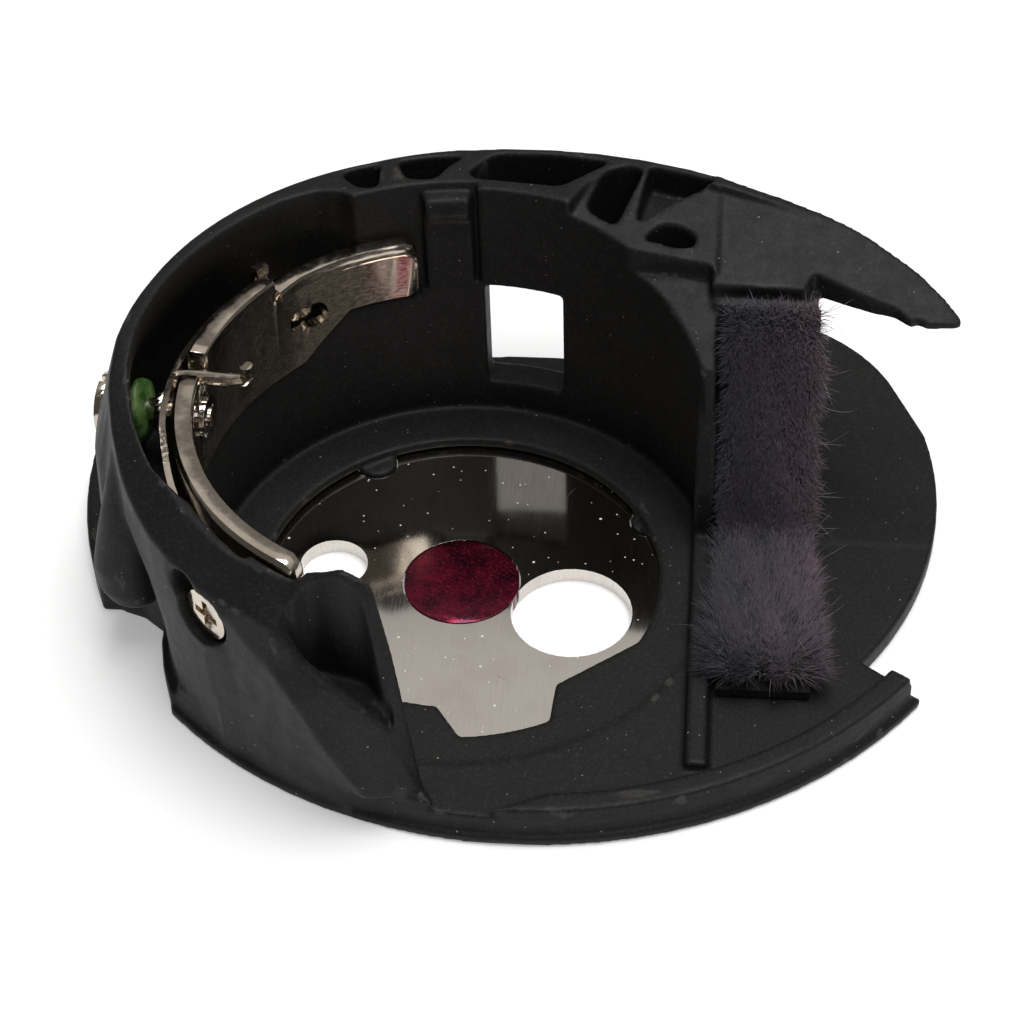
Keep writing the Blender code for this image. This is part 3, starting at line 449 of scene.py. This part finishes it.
def tufts(t, across):
    """Slow sideways drift of the pile, so that the fibres gather into tufts near the front end."""
    strength = 0.10 + 0.35 * max(0.0, 1.0 - t / 0.35)
    drift = math.sin(9.0 * across + 21.0 * t) + 0.6 * math.sin(17.0 * across - 34.0 * t + 1.7)
    return Vector((strength * drift, 0.0, 0.5 * strength * math.cos(13.0 * across + 27.0 * t)))


def add_fibre(points, faces, base, direction, curl, length, radius, segments):
    """One tapered hair with three sides, closed at its tip."""
    side = direction.orthogonal().normalized()
    other = direction.cross(side)
    start = len(points)
    spot = base.copy()
    for k in range(segments):
        wide = radius * (1.0 - 0.6 * k / segments)
        for j in range(3):
            a = math.tau * j / 3
            points.append((spot + (side * math.cos(a) + other * math.sin(a)) * wide) * U)
        heading = (direction + curl * (k + 1) / segments).normalized()
        spot = spot + heading * length / segments
    points.append(spot * U)
    faces.append((start + 2, start + 1, start))
    for k in range(segments - 1):
        low, high = start + 3 * k, start + 3 * (k + 1)
        for j in range(3):
            n = (j + 1) % 3
            faces.append((low + j, low + n, high + n, high + j))
    last, tip = start + 3 * (segments - 1), len(points) - 1
    for j in range(3):
        faces.append((last + j, last + (j + 1) % 3, tip))


def hair_object(name, points, faces, material):
    mesh = bpy.data.meshes.new(name)
    mesh.from_pydata([tuple(p) for p in points], [], faces)
    mesh.shade_smooth()
    add_object(name, mesh, material, "case", "purple_grey_pile")


def pile_fibres(count):
    """The velvet itself: upright on the wall, longer and tufted over the floor."""
    rng = np.random.default_rng(21)
    blue, pink = ([], []), ([], [])
    for _ in range(count):
        t, across = rng.uniform(0.0, 1.0), rng.uniform(-1.0, 1.0)
        base, direction = fibre_root(t, across)
        direction = (direction + tufts(t, across) + Vector(rng.normal(0.0, 0.18, 3))).normalized()
        curl = Vector(rng.normal(0.0, 0.16, 3))
        length = rng.uniform(0.95, 1.18) * (HAIR_LENGTH + FRONT_EXTRA * max(0.0, 1.0 - t / 0.4))
        warm = 0.85 * across + 0.25 * math.sin(11.0 * t + 3.0 * across) + rng.normal(0.0, 0.35)
        points, faces = pink if warm > 0.2 else blue
        add_fibre(points, faces, base, direction, curl, length, rng.uniform(0.018, 0.032), 2)
    hair_object("pile_hair_blue", *blue, FIBRE_BLUE)
    hair_object("pile_hair_pink", *pink, FIBRE_PINK)


def stray_fibres(count):
    """Single long hairs that stick out past the strip's right side and its ends."""
    rng = np.random.default_rng(22)
    points, faces = [], []
    for _ in range(count):
        t = rng.uniform(0.0, 1.0)
        across = rng.uniform(0.8, 1.0) * rng.choice([-1.0, 1.0], p=[0.12, 0.88])
        if rng.uniform() < 0.3:
            t, across = rng.choice([0.01, 0.985]), rng.uniform(0.1, 1.0)
        base, direction = fibre_root(t, across)
        outward = Vector((0.55 * across, 0, 0))
        direction = (direction + outward + Vector(rng.normal(0.0, 0.4, 3))).normalized()
        curl = Vector(rng.normal(0.0, 0.8, 3))
        add_fibre(points, faces, base, direction, curl, rng.uniform(1.5, 2.3), rng.uniform(0.012, 0.02), 5)
    hair_object("pile_stray_hair", points, faces, FIBRE_STRAY)


def pile_pad():
    """The mass of hair that the eye can't see into, as a lumpy pad under the separate fibres, its colour
    painted shade.
    """
    rng = np.random.default_rng(11)
    rows, columns = 64, 18
    wide = columns + 1
    top, bottom = [], []
    for i in range(rows + 1):
        base, normal = pile_profile(i / rows)
        for j in range(columns + 1):
            across = -1.0 + 2.0 * j / columns
            edge = min(1.0, (1.0 - abs(across)) * 5.0, i / 3.0 + 0.25, (rows - i) / 3.0 + 0.25)
            height = PAD_HEIGHT * edge + 0.1 * rng.normal()
            point = base + normal * max(0.12, height)
            point.x = PILE_MIDDLE + across * PILE_HALF * ROOTED
            top.append(point * U)
            floor = base - normal * 0.02
            floor.x = point.x
            bottom.append(floor * U)
    work = bmesh.new()
    upper = [work.verts.new(p) for p in top]
    lower = [work.verts.new(p) for p in bottom]
    for i in range(rows):
        for j in range(columns):
            a = i * wide + j
            b, c, d = a + 1, a + wide + 1, a + wide
            work.faces.new((upper[a], upper[b], upper[c], upper[d]))
            work.faces.new((lower[d], lower[c], lower[b], lower[a]))
    rim = list(range(wide)) + [i * wide + columns for i in range(1, rows + 1)]
    rim += [rows * wide + j for j in range(columns - 1, -1, -1)]
    rim += [i * wide for i in range(rows - 1, 0, -1)]
    for a, b in zip(rim, rim[1:] + rim[:1]):
        work.faces.new((upper[b], upper[a], lower[a], lower[b]))
    bmesh.ops.recalc_face_normals(work, faces=work.faces)
    mesh = bpy.data.meshes.new("pile_pad")
    work.to_mesh(mesh)
    work.free()
    mesh.shade_smooth()
    add_object("pile_pad", mesh, PILE_PAINTED_SHADE, "case", "purple_grey_pile", "pile_strip")


# ---------------------------------------------------------------- the object
moulded_case()
eased("keeper_plate", "keeper_sheet", STEEL, "case", "bright_steel", 0.03)
eased("centre_magnet", "magnet_disc", LACQUER, "case", "dark_red_lacquer", 0.06)
eased("guide_plate", "guide_strip", NICKEL, "case", "polished_nickel", 0.06)
eased("guide_bush", "guide_ferrule", STEEL, "case", "bright_steel", 0.06)
eased("tension_spring", "tension_leaf_spring", NICKEL, "tension_leaf", "polished_nickel", 0.03)
eased("tension_screw", "tension_adjuster_screw", NICKEL, "tension_adjuster", "polished_nickel", 0.04)
eased("front_mounting_screw", "front_cross_screw", NICKEL, "case", "polished_nickel", 0.06)
eased("rear_mounting_screw", "rear_cross_screw", NICKEL, "case", "polished_nickel", 0.06)
seal_blob()
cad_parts["pile_backing"].data.materials.clear()
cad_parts["pile_backing"].data.materials.append(FELT)
pile_pad()
pile_fibres(count=26000)
stray_fibres(count=90)


# ---------------------------------------------------------------- stage, light and camera
FLOOR_REACH = 3.0
FLOOR_DROP = 0.00002                  # keeps the floor clear of the case's underside
FLOOR_GLOW = 0.30                     # lifts the floor to white round the object


def build_floor():
    signs = ((-1, -1), (1, -1), (1, 1), (-1, 1))
    corners = [(x * FLOOR_REACH, y * FLOOR_REACH, -FLOOR_DROP) for x, y in signs]
    mesh = bpy.data.meshes.new("floor")
    mesh.from_pydata(corners, [], [(0, 1, 2, 3)])
    floor = bpy.data.objects.new("floor", mesh)
    scene.collection.objects.link(floor)
    s = Shader("pale_floor", Base_Color=(0.86, 0.86, 0.86, 1.0), Roughness=0.9, Specular_IOR_Level=0.1)
    s.principled.inputs["Emission Color"].default_value = (1.0, 1.0, 1.0, 1.0)
    s.principled.inputs["Emission Strength"].default_value = FLOOR_GLOW
    mesh.materials.append(s.material)


ROOM_GLOW, PANEL_GLOW = 0.08, 0.56


def build_world():
    """A dim studio with a pale panel high up behind the object, which the floor plate mirrors."""
    world = bpy.data.worlds.new("studio")
    world.use_nodes = True
    scene.world = world
    tree = world.node_tree
    coordinates = tree.nodes.new("ShaderNodeTexCoord")
    split = tree.nodes.new("ShaderNodeSeparateXYZ")
    tree.links.new(coordinates.outputs["Generated"], split.inputs["Vector"])
    strength = tree.nodes.new("ShaderNodeMath")
    strength.operation = "MULTIPLY_ADD"
    strength.inputs[2].default_value = ROOM_GLOW
    ramps = (("Y", -0.2, 0.75, 0.0, PANEL_GLOW), ("Z", 0.685, 0.735, 0.22, 1.0))
    for index, (axis, low, high, out_low, out_high) in enumerate(ramps):
        ramp = tree.nodes.new("ShaderNodeMapRange")
        ramp.interpolation_type = "SMOOTHSTEP"
        ends = (("From Min", low), ("From Max", high), ("To Min", out_low), ("To Max", out_high))
        for name, value in ends:
            ramp.inputs[name].default_value = value
        tree.links.new(split.outputs[axis], ramp.inputs["Value"])
        tree.links.new(ramp.outputs["Result"], strength.inputs[index])
    tree.links.new(strength.outputs["Value"], tree.nodes["Background"].inputs["Strength"])
    tree.nodes["Background"].inputs["Color"].default_value = (1.0, 0.965, 0.925, 1.0)


def add_area(name, location, size, power):
    """A rectangular lamp that points at the origin."""
    data = bpy.data.lights.new(name, "AREA")
    data.shape = "RECTANGLE"
    data.size, data.size_y = size
    data.energy = power
    light = bpy.data.objects.new(name, data)
    light.location = location
    light.rotation_euler = (Vector() - Vector(location)).to_track_quat("-Z", "Y").to_euler()
    scene.collection.objects.link(light)


CAMERA_TARGET = (1.71, 5.10, 0.0)
CAMERA_DISTANCE = 105.9


def build_camera():
    elevation, azimuth, roll = math.radians(43.63), math.radians(6.0), math.radians(-2.0)
    back = Vector((math.sin(azimuth) * math.cos(elevation), -math.cos(azimuth) * math.cos(elevation),
                   math.sin(elevation)))
    right = Vector((math.cos(azimuth), math.sin(azimuth), 0.0))
    up = back.cross(right)
    turn = Matrix((right, up, back)).transposed() @ Matrix.Rotation(roll, 3, "Z")
    data = bpy.data.cameras.new("camera")
    data.lens = 84.375
    data.sensor_width = 36.0
    data.clip_start = 0.005
    camera = bpy.data.objects.new("camera", data)
    place = Vector(CAMERA_TARGET) * U + back * CAMERA_DISTANCE * U
    camera.matrix_world = Matrix.Translation(place) @ turn.to_4x4()
    scene.collection.objects.link(camera)
    scene.camera = camera


build_floor()
build_world()
add_area("overhead", (0.05, 0.0, 0.36), (0.26, 0.16), 1.05)
add_area("front_fill", (0.10, -0.34, 0.30), (0.22, 0.16), 0.16)
build_camera()
scene.view_settings.view_transform = "Standard"
